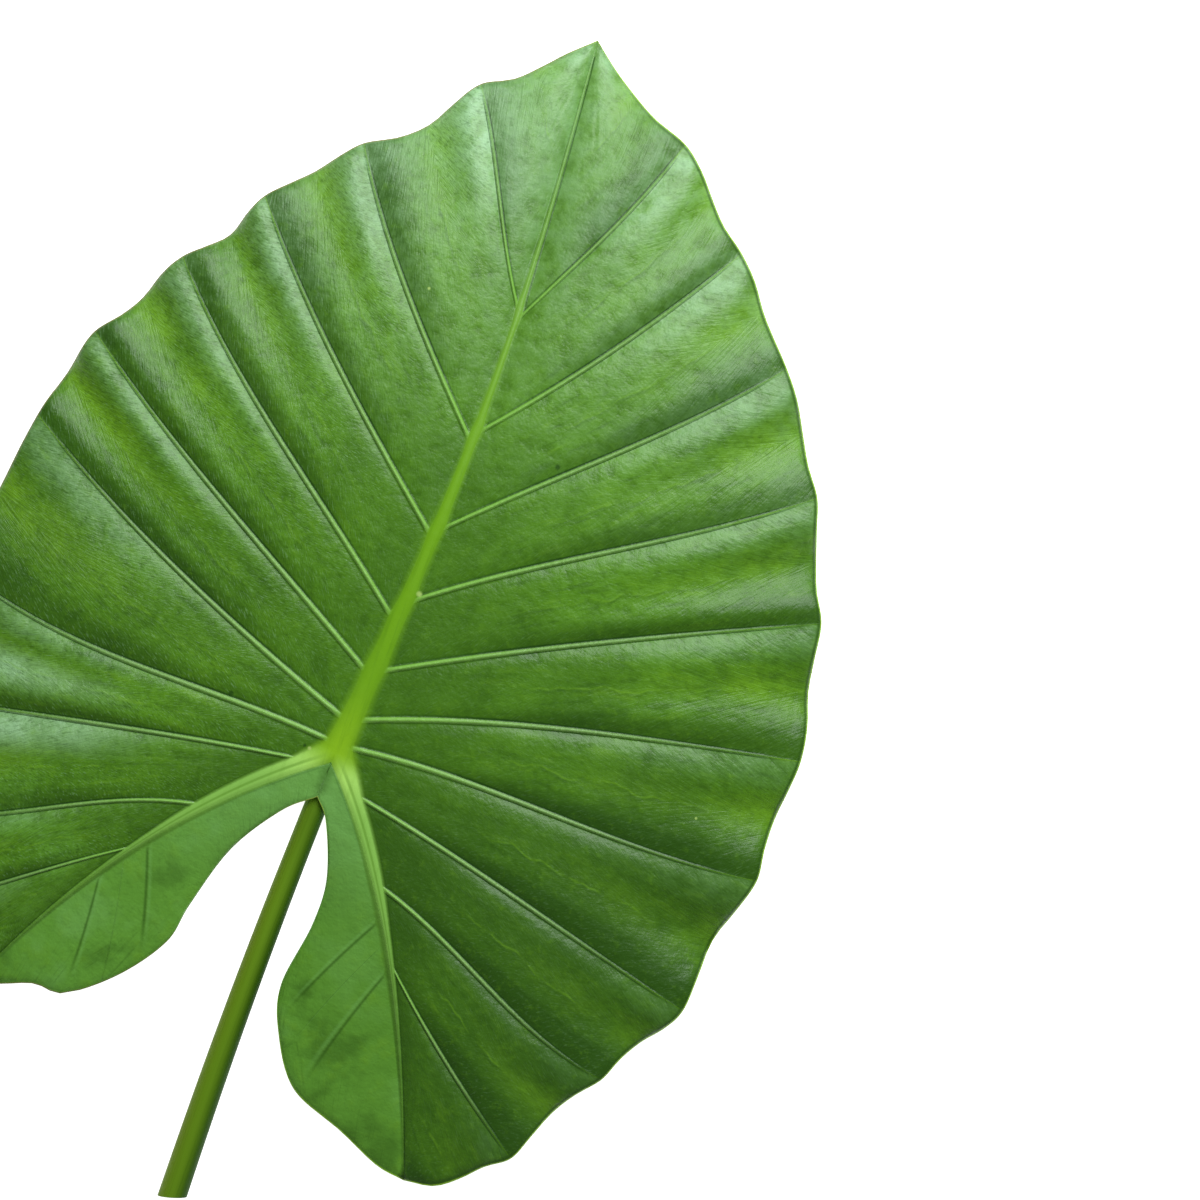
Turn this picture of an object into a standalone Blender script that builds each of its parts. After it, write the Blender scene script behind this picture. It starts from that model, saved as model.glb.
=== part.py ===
# Leaf of a giant taro, cut from its plant and lying face up on a table.
# The blade points along +Y, its upper face is +Z, and the origin is on the table under the spot
# where the stalk joins the blade. The blade is one waved sheet with its ribs raised from it.
import math

import bmesh
import bpy
from mathutils import Vector

MM = 0.001

# Length of the blade from the stalk to its tip and its thickness, in millimetres
TIP_Y = 417.0
BLADE_THICKNESS = 1.0

# Midrib: how far it bows to +X, its width at places from the stalk to the tip, how far it stands
# above the blade, and its keel below
MIDRIB_BOW = 12.3
MIDRIB_WIDTHS = ((0, 20), (20, 12.5), (50, 10), (100, 8.5), (200, 5.5), (300, 2.2), (400, 1.2), (417, 0))
RIB_CROWN = 0.9
KEEL_DEPTH = 9.5
KEEL_START_Y = 6.0

# Height of the upper face along the midrib: at the stalk, its arch, and where the tip and the tips
# of the lobes lie on the table
JOINT_HEIGHT = 15.0
ARCH_HEIGHT = 10.0
TIP_HEIGHT = 1.0

# Basal ribs, which run from the stalk down the two lobes
COSTA_WIDTH = 5.0
COSTA_KEEL = 5.5
COSTA_KEEL_START = 0.05

# Side veins: a narrow ridge in a shallow channel, a rib below it, and the blade swelling between
RIDGE_HALF_WIDTH = 1.5
RIDGE_HEIGHT = 1.3
CHANNEL_DEPTH = 0.9
CHANNEL_HALF_WIDTH = 6.0
RIB_BELOW = 2.2
QUILT_HEIGHT = 3.0
VEIN_ARCH = 3.0

# Stalk: its width at places from the cut to its head under the blade, the two sides of the slanted
# cut, its bow to -X over a length, and the share of its radius at which its middle lies
STALK_WIDTHS = ((-280, 15.3), (-26, 12), (0, 14.7), (5, 14.8))
STALK_HEAD_Y = 4.2
STALK_END_Y = -278.0
STALK_CUT = ((-7.5, -263.0), (6.5, -259.0))
STALK_BOW = 2.7
STALK_BOW_LENGTH = 300.0
STALK_STAND = 0.85
STALK_POINTS = 24

# Veins of the midrib, from the tip to the stalk: place on the midrib, end at the margin, bow
# towards the tip at one and two thirds, how far the margin draws in beyond the vein, and the
# height of the margin at the vein and in the trough beyond it
RIGHT_MIDRIB_VEINS = (
    (260, (65, 380), (-2.5, -3.4), 3.5, 8, 3.5),
    (194, (115, 334), (-4.0, -4.0), 3.0, 11, 4),
    (137, (160, 283), (-1.8, -3.6), 1.8, 13, 4),
    (94, (200, 222), (0.6, -2.0), 2.0, 14, 3.5),
    (52, (226, 158), (2.4, 2.0), 2.0, 14, 3.5),
    (22, (241.5, 83), (5.4, 4.2), 3.5, 13, 3),
    (5, (241.5, 13), (1.6, -2.2), 6.0, 11, -2),
)
LEFT_MIDRIB_VEINS = (
    (265, (-52, 373), (-0.5, 1.0), 7.6, 8, 3.5),
    (188, (-101, 320), (-4.0, -4.8), 1.0, 11, 4),
    (132, (-142, 274), (-3.8, -4.6), 4.8, 13, 4),
    (82, (-173, 227), (-2.5, -5.0), 2.7, 14, 3.5),
    (49, (-204, 172), (-2.0, -3.5), 0.0, 14, 3.5),
    (20, (-218, 118), (-5.2, -6.0), 0.0, 13, 3),
    (5, (-231, 25), (-4.4, -9.0), 4.0, 11, -2),
)
# Veins of the basal rib, whose place is a share of that rib
RIGHT_BASAL_VEINS = (
    (0.16, (228, -68), (1.6, 0.6), 2.6, 10, 3),
    (0.40, (199, -119), (-0.5, -4.5), 4.4, 9, 3),
    (0.59, (167, -177), (-2.2, -2.0), -4.0, 7, 2),
)
LEFT_BASAL_VEINS = (
    (0.11, (-228, -51), (1.5, 1.0), 2.6, 10, 3),
    (0.375, (-206, -112), (3.0, -1.0), 4.4, 9, 3),
    (0.565, (-184, -157), (0.5, 0.0), -2.0, 7, 2),
)
RIGHT_TIP_SAG = 6.4
LEFT_TIP_SAG = 5.2
TIP_TROUGH_HEIGHT = 2.0

# Basal rib as a curve of three points, which ends at the tip of the lobe
RIGHT_COSTA = ((0, 0), (62, -62), (116, -210))
LEFT_COSTA = ((0, 0), (-88, -62), (-146, -190))

# Inner margin of each lobe, from the bottom of the notch to the tip of the lobe, its height at
# those points, and the faint veins that cross to it: share of the basal rib, and place along the
# margin counted in points
RIGHT_INNER_MARGIN = (
    (-1, -26.5), (8, -38), (19, -68), (20, -95), (16, -130), (24, -155), (42, -181.5),
    (75, -194), (100, -205), (116, -210),
)
LEFT_INNER_MARGIN = (
    (-1, -26.5), (-17, -40.5), (-36, -70), (-47, -107), (-53, -130), (-72, -156), (-95, -175),
    (-113, -176), (-130, -183), (-146, -190),
)
INNER_HEIGHTS = (15, 12.5, 8, 5, 4, 4, 3.5, 3, 2, 1)
RIGHT_INNER_VEINS = ((0.47, 4.8), (0.585, 6.1))
LEFT_INNER_VEINS = ((0.51, 4.6), (0.64, 6.05))
INNER_BOW = 0.02
INNER_RIDGE = 0.7
NOTCH_SHARE = 0.15

# Mesh of the blade: lines along the rib, lines from its edge to the margin, and where the columns
# between two veins lie at the tip, in the middle and at the lobe
RIB_LINES = (0.0, 0.55, 1.0)
OUTER_LINES = (0.11, 0.24, 0.38, 0.52, 0.66, 0.79, 0.9, 1.0)
INNER_LINES = (0.25, 0.5, 0.75, 0.92, 1.0)
TIP_COLUMNS = (0.0, 0.14, 0.3, 0.46, 0.62)
MIDDLE_COLUMNS = (0.32, 0.52, 0.72)
LOBE_COLUMNS = (0.3, 0.46, 0.62, 0.78, 0.9)
NEAR_SHARE = 0.22
WELD = 0.05

BLADE_GREEN = (0.055, 0.165, 0.013, 1)
STALK_GREEN = (0.11, 0.21, 0.015, 1)


def lerp(a, b, t):
    return a + (b - a) * t


def smooth_step(low, high, value):
    t = min(max((value - low) / (high - low), 0.0), 1.0)
    return t * t * (3 - 2 * t)


def read(rows, at):
    """Value at a place, read straight between rows of (place, value)."""
    for (a, low), (b, high) in zip(rows, rows[1:]):
        if at <= b:
            return lerp(low, high, max(at - a, 0) / (b - a))
    return rows[-1][1]


def along(points, at):
    """Point on a smooth curve through the points, where at counts points from the first."""
    last = len(points) - 1
    index = min(int(at), last - 1)
    t = at - index
    p1, p2 = points[index], points[index + 1]
    p0 = points[index - 1] if index > 0 else p1 * 2 - p2
    p3 = points[index + 2] if index + 2 <= last else p2 * 2 - p1
    return (p1 * 2 + (p2 - p0) * t + (p0 * 2 - p1 * 5 + p2 * 4 - p3) * t ** 2
            + (p1 * 3 - p0 - p2 * 3 + p3) * t ** 3) / 2


def midrib_x(y):
    return MIDRIB_BOW * math.sin(math.pi * min(max(y / TIP_Y, 0), 1))


def midrib_height(y):
    q = y / TIP_Y
    return JOINT_HEIGHT + ARCH_HEIGHT * math.sin(math.pi * q) - (JOINT_HEIGHT - TIP_HEIGHT) * q ** 3


def midrib_half_width(y):
    return read(MIDRIB_WIDTHS, y) / 2


def midrib_keel(y):
    return KEEL_DEPTH * (1 - y / TIP_Y) ** 1.1 if y > KEEL_START_Y else 0.0


def costa_height(share):
    return lerp(JOINT_HEIGHT, TIP_HEIGHT, share ** 1.5)


def costa_half_width(share):
    return COSTA_WIDTH / 2 * (1 - share) ** 0.8


def costa_keel(share):
    return COSTA_KEEL * smooth_step(COSTA_KEEL_START, 3 * COSTA_KEEL_START, share) * (1 - share)


class Half:
    """One half of the blade. Its stations are the tip, the veins in turn and the lobe's tip."""

    def __init__(self, hand, midrib_veins, basal_veins, tip_sag, costa, inner_margin, inner_veins):
        self.hand = hand
        self.costa = [Vector(p) for p in costa]
        self.inner_margin = [Vector(p) for p in inner_margin]
        self.inner_veins = inner_veins
        veins = midrib_veins + basal_veins
        self.last_midrib = len(midrib_veins)
        self.last = len(veins) + 1
        self.bases = [TIP_Y] + [vein[0] for vein in veins] + [1.0]
        self.ends = [Vector((0, TIP_Y))] + [Vector(vein[1]) for vein in veins] + [self.costa[2]]
        self.bows = [(0, 0)] + [vein[2] for vein in veins] + [(0, 0)]
        self.end_heights = [TIP_HEIGHT] + [vein[4] for vein in veins] + [TIP_HEIGHT]
        self.trough_heights = [TIP_TROUGH_HEIGHT] + [vein[5] for vein in veins]
        self.margin = self.ends[:1]
        sags = [tip_sag] + [vein[3] for vein in veins]
        for a, b, sag in zip(self.ends, self.ends[1:], sags):
            inward = Vector(((b - a).y, (a - b).x)).normalized() * hand
            self.margin += [(a + b) / 2 + inward * sag, b]

    def costa_point(self, share, across):
        """Point on the basal rib: across is 1 at its outer edge and -1 at its inner edge."""
        a, b, c = self.costa
        run = ((b - a) * (1 - share) + (c - b) * share).normalized()
        side = Vector((-run.y, run.x)) * self.hand
        middle = a * (1 - share) ** 2 + b * 2 * share * (1 - share) + c * share ** 2
        return middle + side * costa_half_width(share) * across

    def base(self, station, across):
        """Place of a station on its rib. The middle of the midrib is shared by both halves."""
        if station <= self.last_midrib:
            return lerp(MIDRIB_STATIONS[station], self.bases[station], across)
        return self.bases[station]

    def midrib_point(self, y, across):
        return Vector((midrib_x(y) + self.hand * midrib_half_width(y) * across, y))

    def rib_point(self, station, across):
        base = self.base(station, across)
        if station <= self.last_midrib:
            return self.midrib_point(base, across)
        return self.costa_point(base, across)

    def turn(self):
        """Share of the panel beside the stalk at which the midrib gives way to the basal rib."""
        return column_share(("after", CHANNEL_HALF_WIDTH), self.rib_spacing(self.last_midrib))

    def rib_spacing(self, station):
        return (self.rib_point(station, 0) - self.rib_point(station + 1, 0)).length

    def costa_share(self, station, t):
        if station == self.last_midrib:
            turn = self.turn()
            return self.bases[station + 1] * max(t - turn, 0) / (1 - turn)
        return lerp(self.bases[station], self.bases[station + 1], t)

    def rib(self, station, t, across):
        """Point between two veins on their rib, the height of its upper face and its depth."""
        if station < self.last_midrib:
            y = lerp(self.base(station, across), self.base(station + 1, across), t)
            point, half_width = self.midrib_point(y, across), midrib_half_width(y)
            return rib_section(point, across, midrib_height(y), half_width, midrib_keel(y))
        share = self.costa_share(station, t)
        point = self.costa_point(share, across)
        if station == self.last_midrib:
            middle = self.costa_point(share, 0)
            if share == 0:
                middle = self.rib_point(station, 0) * (1 - t / self.turn())
            edge = lerp(self.rib_point(station, 1), self.rib_point(station + 1, 1), t)
            point = lerp(middle, edge, across)
        return costa_section(point, across, share)

    def vein_point(self, station, s):
        """Point on a vein, s of the way from its rib to the margin."""
        start, end = self.rib_point(station, 1), self.ends[station]
        chord = end - start
        towards_tip = Vector((-chord.y, chord.x)).normalized() * self.hand
        low, high = self.bows[station]
        bow = s * (1 - s) * (9 * low - 4.5 * high + 13.5 * (high - low) * s)
        return start + chord * s + towards_tip * bow

    def vein_height(self, station, s):
        base = self.bases[station]
        start = midrib_height(base) if station <= self.last_midrib else costa_height(base)
        arch = VEIN_ARCH * 4 * s * (1 - s) * (start - TIP_HEIGHT) / JOINT_HEIGHT
        return lerp(start, self.end_heights[station], s ** 1.3) + arch

    def panel_width(self, station, s):
        return (self.vein_point(station + 1, s) - self.vein_point(station, s)).length

    def panel(self, station, t, s):
        """Point t of the way between two veins and s of the way to the margin, the height of the
        upper face there, and the thickness of the blade."""
        straight = lerp(self.rib_point(station, 1), self.rib_point(station + 1, 1), t)
        at_rib = self.rib(station, t, 1)[0] - straight
        at_rim = along(self.margin, 2 * (station + t))
        at_rim -= lerp(self.ends[station], self.ends[station + 1], t)
        point = lerp(self.vein_point(station, s), self.vein_point(station + 1, s), t)
        point += at_rib * (1 - s) ** 2 + at_rim * s ** 2

        height = lerp(self.vein_height(station, s), self.vein_height(station + 1, s), t)
        height += QUILT_HEIGHT * math.sin(math.pi * t) * 4 * s * (1 - s)
        ends = lerp(self.end_heights[station], self.end_heights[station + 1], t)
        height -= (ends - self.trough_heights[station]) * math.sin(math.pi * t) ** 2 * s ** 4
        thickness = BLADE_THICKNESS
        if 0 < station + round(t) < self.last:
            away = min(t, 1 - t) * self.panel_width(station, s)
            crest = max(1 - (away / RIDGE_HALF_WIDTH) ** 2, 0)
            channel = math.exp(-(2 * (away - RIDGE_HALF_WIDTH) / CHANNEL_HALF_WIDTH) ** 2)
            height += RIDGE_HEIGHT * crest * (1 - s ** 3) - CHANNEL_DEPTH * channel * (1 - s ** 2)
            thickness += (RIDGE_HEIGHT + RIB_BELOW * (1 - s)) * crest
        return point, height, thickness

    def columns(self):
        """Every column of the outer blade, as a station and the column's place beyond it."""
        near = [("after", 0.0), ("after", RIDGE_HALF_WIDTH), ("after", CHANNEL_HALF_WIDTH)]
        far = [("before", CHANNEL_HALF_WIDTH), ("before", RIDGE_HALF_WIDTH)]
        places = [[("share", t) for t in TIP_COLUMNS] + far]
        places += [near + [("share", t) for t in MIDDLE_COLUMNS] + far] * (self.last - 2)
        places += [near + [("share", t) for t in LOBE_COLUMNS] + [("share", 1.0)]]
        return [(station, place) for station, panel in enumerate(places) for place in panel]

    def outer(self, station, place, line):
        """Point, height and thickness of the outer blade where a column crosses a line."""
        if line >= len(RIB_LINES):
            s = OUTER_LINES[line - len(RIB_LINES)]
            return self.panel(station, column_share(place, self.panel_width(station, s)), s)
        return self.rib(station, column_share(place, self.rib_spacing(station)), RIB_LINES[line])

    def inner(self, station, place, line):
        """The same for the inner blade, between the basal rib and the notch."""
        share = self.costa_share(station, column_share(place, self.rib_spacing(station)))
        across = RIB_LINES[min(line, len(RIB_LINES) - 1)]
        point = self.costa_point(share, -across)
        if share == 0:
            point = self.inner_margin[0] * NOTCH_SHARE * across
        if line < len(RIB_LINES):
            return costa_section(point, across, share)
        s = INNER_LINES[line - len(RIB_LINES)]
        crossing = ((0, 0),) + self.inner_veins + ((1, len(self.inner_margin) - 1),)
        at = read(crossing, share)
        chord = along(self.inner_margin, at) - point
        bow = Vector((chord.y, -chord.x)) * self.hand * INNER_BOW * 4 * s * (1 - s) * min(at, 1)
        height = lerp(costa_height(share), read(tuple(enumerate(INNER_HEIGHTS)), at), s ** 1.3)
        for vein, _ in self.inner_veins:
            height += INNER_RIDGE * max(1 - abs(share - vein) * 25, 0) * (1 - s)
        return point + chord * s + bow, height, BLADE_THICKNESS


def rib_section(point, across, height, half_width, keel):
    """A point of a rib with the height of its crown and the thickness of its round keel."""
    crown = RIB_CROWN * min(half_width / RIDGE_HALF_WIDTH, 1) * (1 - across ** 2)
    return point, height + crown, BLADE_THICKNESS + crown + keel * math.sqrt(1 - across ** 2)


def costa_section(point, across, share):
    half_width, keel = costa_half_width(share), costa_keel(share)
    return rib_section(point, across, costa_height(share), half_width, keel)


def column_share(place, width):
    """Share of the way between two veins at which a column lies, where they are width apart."""
    kind, value = place
    if kind == "share":
        return value
    share = min(value / max(width, WELD), NEAR_SHARE * value / CHANNEL_HALF_WIDTH)
    return share if kind == "after" else 1 - share


MIDRIB_STATIONS = [TIP_Y] + [
    (right[0] + left[0]) / 2 for right, left in zip(RIGHT_MIDRIB_VEINS, LEFT_MIDRIB_VEINS)]


def add_grid(bm, columns, line_count, place):
    """Grid of faces with its vertices moved to the blade, which keeps their thickness."""
    last_column, last_line = len(columns) - 1, line_count - 1
    grid = bmesh.ops.create_grid(bm, x_segments=last_column, y_segments=last_line, size=1.0)
    thickness_layer = bm.verts.layers.float["thickness"]
    for vert in grid["verts"]:
        column = columns[round((vert.co.x + 1) / 2 * last_column)]
        line = round((vert.co.y + 1) / 2 * last_line)
        point, height, thickness = place(*column, line)
        vert.co = Vector((point.x, point.y, max(height, thickness))) * MM
        vert[thickness_layer] = thickness * MM


def make_blade(halves):
    """The blade: an upper face of four grids, and the same triangles again below it."""
    bm = bmesh.new()
    thickness_layer = bm.verts.layers.float.new("thickness")
    for half in halves:
        columns = half.columns()
        add_grid(bm, columns, len(RIB_LINES) + len(OUTER_LINES), half.outer)
        turn = columns.index((half.last_midrib, ("after", CHANNEL_HALF_WIDTH)))
        add_grid(bm, columns[turn:], len(RIB_LINES) + len(INNER_LINES), half.inner)
    bmesh.ops.remove_doubles(bm, verts=bm.verts, dist=WELD * MM)
    bmesh.ops.triangulate(bm, faces=bm.faces)
    lower = bmesh.ops.extrude_face_region(bm, geom=bm.faces[:], use_keep_orig=True)
    for vert in lower["geom"]:
        if isinstance(vert, bmesh.types.BMVert):
            vert.co.z -= vert[thickness_layer]
    bmesh.ops.recalc_face_normals(bm, faces=bm.faces)
    mesh = bpy.data.meshes.new("leaf_blade")
    bm.to_mesh(mesh)
    bm.free()
    return bpy.data.objects.new("leaf_blade", mesh)


def make_stalk():
    """The stalk: a tapered round rod, flat where it lies on the table and cut across at its end."""
    curve = bpy.data.curves.new("petiole_line", "CURVE")
    curve.dimensions = "3D"
    curve.bevel_depth = MM
    curve.bevel_resolution = 6
    curve.use_fill_caps = True
    line = curve.splines.new("POLY")
    line.points.add(STALK_POINTS - 1)
    for index, knot in enumerate(line.points):
        y = lerp(STALK_HEAD_Y, STALK_END_Y, index / (STALK_POINTS - 1))
        radius = read(STALK_WIDTHS, y) / 2
        x = -STALK_BOW * math.sin(math.pi * max(-y, 0) / STALK_BOW_LENGTH)
        knot.co = (x * MM, y * MM, radius * STALK_STAND * MM, 1)
        knot.radius = radius
    rod = bpy.data.objects.new("petiole_rod", curve)
    bpy.context.scene.collection.objects.link(rod)
    depsgraph = bpy.context.evaluated_depsgraph_get()
    mesh = bpy.data.meshes.new_from_object(rod.evaluated_get(depsgraph))
    bpy.data.objects.remove(rod)

    bm = bmesh.new()
    bm.from_mesh(mesh)
    bmesh.ops.remove_doubles(bm, verts=bm.verts, dist=WELD * MM)
    for vert in bm.verts:
        vert.co.z = max(vert.co.z, 0)
    a, b = Vector(STALK_CUT[0]).to_3d() * MM, Vector(STALK_CUT[1]).to_3d() * MM
    across = (b - a).normalized()
    bmesh.ops.bisect_plane(
        bm, geom=bm.verts[:] + bm.edges[:] + bm.faces[:], plane_co=a,
        plane_no=Vector((across.y, -across.x, 0)), clear_outer=True)
    bmesh.ops.holes_fill(bm, edges=[edge for edge in bm.edges if edge.is_boundary])
    bmesh.ops.recalc_face_normals(bm, faces=bm.faces)
    bm.to_mesh(mesh)
    bm.free()
    mesh.name = "petiole"
    return bpy.data.objects.new("petiole", mesh)


def give_material(obj, name, colour, roughness):
    material = bpy.data.materials.new(name)
    material.use_nodes = True
    shader = material.node_tree.nodes["Principled BSDF"]
    shader.inputs["Base Color"].default_value = colour
    shader.inputs["Roughness"].default_value = roughness
    shader.inputs["Metallic"].default_value = 0.0
    obj.data.materials.clear()
    obj.data.materials.append(material)


def main():
    for obj in list(bpy.data.objects):
        bpy.data.objects.remove(obj, do_unlink=True)
    parts = bpy.data.collections.new("giant_taro_leaf")
    bpy.context.scene.collection.children.link(parts)
    halves = (
        Half(1, RIGHT_MIDRIB_VEINS, RIGHT_BASAL_VEINS, RIGHT_TIP_SAG, RIGHT_COSTA,
             RIGHT_INNER_MARGIN, RIGHT_INNER_VEINS),
        Half(-1, LEFT_MIDRIB_VEINS, LEFT_BASAL_VEINS, LEFT_TIP_SAG, LEFT_COSTA,
             LEFT_INNER_MARGIN, LEFT_INNER_VEINS),
    )
    blade = make_blade(halves)
    give_material(blade, "waxy_leaf", BLADE_GREEN, 0.45)
    stalk = make_stalk()
    give_material(stalk, "leaf_stalk", STALK_GREEN, 0.4)
    for obj in (blade, stalk):
        parts.objects.link(obj)
        obj.data.shade_smooth()


main()
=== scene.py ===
# Look of a giant taro leaf, cut from its plant and lying face up on a pale table.
# The blade points along +Y, its upper face is +Z, and the origin is on the table under the spot
# where the stalk joins the blade. Lengths in the tables are in millimetres.
import math

import bmesh
import bpy
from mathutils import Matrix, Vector, noise


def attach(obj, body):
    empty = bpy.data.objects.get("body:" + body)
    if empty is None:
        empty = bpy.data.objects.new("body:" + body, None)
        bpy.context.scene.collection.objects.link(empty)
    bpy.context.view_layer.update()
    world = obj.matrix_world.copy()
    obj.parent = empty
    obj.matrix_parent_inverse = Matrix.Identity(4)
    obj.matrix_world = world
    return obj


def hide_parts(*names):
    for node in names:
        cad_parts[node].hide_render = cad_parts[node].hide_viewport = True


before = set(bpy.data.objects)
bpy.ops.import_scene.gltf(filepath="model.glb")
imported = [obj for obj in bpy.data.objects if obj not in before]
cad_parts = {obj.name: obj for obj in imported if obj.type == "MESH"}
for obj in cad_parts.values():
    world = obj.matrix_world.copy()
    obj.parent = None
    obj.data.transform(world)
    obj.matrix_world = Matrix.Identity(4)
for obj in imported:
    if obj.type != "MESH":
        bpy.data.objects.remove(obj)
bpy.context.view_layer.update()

MM = 0.001

# Length of the blade from the stalk to its tip, the real thickness of the blade, and its midrib:
# the bow to +X, its width at places from the stalk to the tip, how much it widens where a vein
# joins it, over what length and from which places on, its crown and the half width at which that
# is full, its keel below, and the places between which its colour fades to a share
TIP_Y = 418.5
BLADE_THICKNESS = 0.6
MIDRIB_BOW = 12.3
MIDRIB_WIDTHS = (
    (0, 17), (15, 14.2), (30, 12.4), (60, 11), (75, 9.8), (105, 7.8), (160, 6.2), (210, 4.2),
    (300, 2.0), (400, 1.2), (418.5, 0),
)
MIDRIB_FLARE = 0.9
FLARE_LENGTH = 7.0
FLARE_START = (10, 60)
RIB_CROWN = 0.9
CROWN_HALF_WIDTH = 1.5
KEEL_DEPTH = 9.5
KEEL_START_Y = 6.0
MIDRIB_FADE = (220, 400)
MIDRIB_END_SHOWN = 0.35

# Height of the upper face along the midrib: at the stalk, its arch, and where the tip and the tips
# of the lobes lie on the table
JOINT_HEIGHT = 15.0
ARCH_HEIGHT = 10.0
TIP_HEIGHT = 1.0

# Basal ribs, which run from the stalk down the two lobes: width at shares of their length, keel,
# groove along the middle and the shares between which their colour fades to a share. Then the
# radius of the bright joint over the stalk, and where the colour of any rib ends across it
COSTA_WIDTHS = ((0, 9.5), (0.2, 8.2), (0.35, 6.4), (0.5, 3.6), (0.7, 2.0), (1, 0))
COSTA_KEEL = 5.5
COSTA_KEEL_START = 0.05
COSTA_GROOVE = 0.55
COSTA_FADE = (0.3, 0.85)
COSTA_END_SHOWN = 0.25
JOINT_RADIUS = 26.0
RIB_COLOUR_END = (0.75, 1.25)

# Side veins: a narrow ridge, how far across the rib it starts, the shallow channel it lies in, a
# rib below it, and the blade swelling between
RIDGE_HALF_WIDTH = 1.75
RIDGE_END_HALF_WIDTH = 0.7
RIDGE_HEIGHT = 1.3
VEIN_ROOT = 0.7
CHANNEL_START = 1.5
CHANNEL_DEPTH = 0.9
CHANNEL_HALF_WIDTH = 6.0
RIB_BELOW = 2.2
QUILT_HEIGHT = 1.6
VEIN_ARCH = 3.0

# Fine form of the blade: the wrinkles that run with the fine veins, the broad unevenness, and the
# margin, which curls down
WRINKLE_HEIGHT = 0.55
WRINKLE_LENGTH = 34.0
WRINKLE_WIDTH = 8.5
UNEVEN_HEIGHT = 0.9
UNEVEN_LENGTH = 42.0
CURL_HEIGHT = 1.1
CURL_WIDTH = 4.0

# Fine veins leave a side vein and bend towards the margin: how far they run along it for each
# millimetre away from it, how fast they bend and how far they wander
FINE_VEIN_SLANT = 1.05
FINE_VEIN_BEND = 0.028
FINE_VEIN_WANDER = 14.0

# Veins of the midrib, from the tip to the stalk: place on the midrib, end at the margin, bow
# towards the tip at one and two thirds, how far the margin draws in at the quarters of the panel
# beyond the vein, and the height of the margin at the vein and in the trough beyond it
RIGHT_MIDRIB_VEINS = (
    (260, (65.5, 380.5), (-2.5, -3.4), (-1.2, 0.4, 1.9), 8, 5.0),
    (194, (115.4, 334.4), (-4.0, -4.0), (-1.1, 0.4, 0.5), 11, 6.0),
    (137, (160.5, 283.3), (-1.8, -3.6), (-1.6, -0.8, 0.7), 13, 6.0),
    (94, (200.6, 222.3), (0.6, -2.0), (0.8, 1.3, 1.9), 14, 6.0),
    (52, (226.5, 158.2), (2.4, 2.0), (0.8, 1.2, -0.9), 14, 6.0),
    (22, (242, 83), (5.4, 4.2), (0.8, 2.2, 1.9), 13, 5.0),
    (5, (242, 13), (1.6, -2.2), (1.8, 4.4, 2.0), 11, 0.0),
)
LEFT_MIDRIB_VEINS = (
    (265, (-52, 373), (-0.5, 1.0), (3.0, 6.8, 5.8), 8, 5.0),
    (188, (-101, 320), (-4.0, -4.8), (0.0, 0.5, 0.3), 11, 6.0),
    (132, (-142, 274), (-3.8, -4.6), (2.0, 5.2, 3.3), 13, 6.0),
    (82, (-173, 227), (-2.5, -5.0), (-0.2, 2.2, 2.5), 14, 6.0),
    (49, (-204, 172), (-2.0, -3.5), (-0.7, -0.5, -0.3), 14, 6.0),
    (20, (-218, 118), (-5.2, -6.0), (-0.2, 0.0, -0.7), 13, 5.0),
    (5, (-231, 25), (-4.4, -9.0), (1.7, 4.0, 1.5), 11, 0.0),
)
# Places on the middle of the midrib that both halves share: the tip, then between two veins
MIDRIB_STATIONS = [TIP_Y] + [
    (right[0] + left[0]) / 2 for right, left in zip(RIGHT_MIDRIB_VEINS, LEFT_MIDRIB_VEINS)]
# Veins of the basal rib, whose place is a share of that rib
RIGHT_BASAL_VEINS = (
    (0.16, (228.4, -68.2), (1.6, 0.6), (-0.8, 1.4, 1.8), 10, 4.5),
    (0.40, (199.4, -119.4), (-0.5, -4.5), (3.1, 3.7, 1.8), 9, 4.0),
    (0.59, (167.5, -177.6), (-2.2, -2.0), (-1.6, -5.6, -6.4), 7, 2.5),
)
LEFT_BASAL_VEINS = (
    (0.11, (-228, -51), (1.5, 1.0), (0.5, 2.6, 1.0), 10, 4.5),
    (0.375, (-206, -112), (3.0, -1.0), (2.1, 4.4, 2.0), 9, 4.0),
    (0.565, (-184, -157), (0.5, 0.0), (-2.0, -2.0, -1.2), 7, 2.5),
)

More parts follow.
